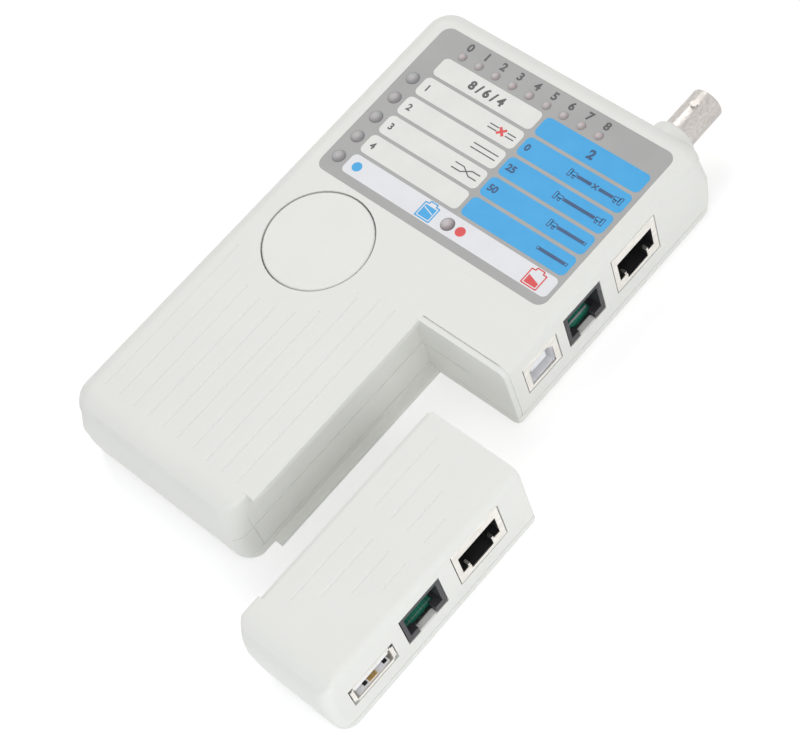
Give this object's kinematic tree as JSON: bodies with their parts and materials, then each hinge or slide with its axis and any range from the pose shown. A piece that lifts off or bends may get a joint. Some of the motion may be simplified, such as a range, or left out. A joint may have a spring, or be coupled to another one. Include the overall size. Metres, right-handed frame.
{
  "type": "network cable tester",
  "caption": "Hand-held cable tester: L-shaped main unit with legend panel, lamps, test button and sockets, and a remote unit that docks in its corner.",
  "frame": {"origin": "middle of the main unit's outline, on the plane of its back", "axes": "+Z out of the legend face, +Y along the main unit towards the coaxial socket, +X towards the wall with the sockets"},
  "size_m": [0.1062, 0.1791, 0.0255],
  "materials": {
    "case_plastic": "fine satin texture, warm white",
    "button_plastic": "smooth satin, warm white",
    "legend_film": "printed film, satin",
    "lens": "cloudy lamp lens, glossy",
    "board": "green lacquer",
    "black_plastic": "moulded, satin",
    "grey_plastic": "moulded, satin",
    "white_plastic": "moulded, satin",
    "shield_metal": "tin-plated sheet",
    "nickel": "nickel-plated, slightly dull",
    "contact_metal": "gold-plated wire",
    "screw_steel": "zinc-plated",
    "battery_jacket": "plain printed jacket"
  },
  "bodies": {
    "main_unit": {"master_top_shell": "case_plastic", "master_bottom_shell": "case_plastic", "label_panel": "legend_film", "pin_lamp_1": "lens", "pin_lamp_2": "lens", "pin_lamp_3": "lens", "pin_lamp_4": "lens", "pin_lamp_5": "lens", "pin_lamp_6": "lens", "pin_lamp_7": "lens", "pin_lamp_8": "lens", "pin_lamp_9": "lens", "state_lamp_1": "lens", "state_lamp_2": "lens", "state_lamp_3": "lens", "state_lamp_4": "lens", "state_lamp_5": "lens", "low_battery_lamp": "lens", "test_switch": "black_plastic", "main_board": "board", "display_board": "board", "board_link": "black_plastic", "master_ethernet_shield": "shield_metal", "master_ethernet_insert": "black_plastic", "master_ethernet_contacts": "contact_metal", "master_phone_socket": "grey_plastic", "master_phone_contacts": "contact_metal", "master_usb_shield": "shield_metal", "master_usb_core": "white_plastic", "coax_barrel": "nickel", "coax_insulator": "white_plastic", "coax_contact": "contact_metal", "battery_9v": "battery_jacket", "battery_snap": "black_plastic", "case_screw_1": "screw_steel", "case_screw_2": "screw_steel", "case_screw_3": "screw_steel", "case_screw_4": "screw_steel"},
    "button": {"test_button": "button_plastic"},
    "cover": {"battery_cover": "case_plastic"},
    "remote": {"remote_top_shell": "case_plastic", "remote_bottom_shell": "case_plastic", "remote_board": "board", "remote_ethernet_shield": "shield_metal", "remote_ethernet_insert": "black_plastic", "remote_ethernet_contacts": "contact_metal", "remote_phone_socket": "grey_plastic", "remote_phone_contacts": "contact_metal", "remote_usb_shield": "shield_metal", "remote_usb_tongue": "white_plastic", "remote_screw_1": "screw_steel", "remote_screw_2": "screw_steel"}
  },
  "joints": [
    {"name": "button_press", "type": "slide", "parent": "main_unit", "child": "button", "axis": [0, 0, -1], "range_m": [0, 0.001], "stiffness_N_per_m": 800, "springref_m": -0.0005},
    {"name": "cover_lift", "type": "slide", "parent": "main_unit", "child": "cover", "axis": [0, 0, -1], "range_m": [0, 0.008]},
    {"name": "remote_dock", "type": "slide", "parent": "main_unit", "child": "remote", "axis": [-0.7567, 0.6537, 0], "range_m": [0, 0.02524]}
  ]
}
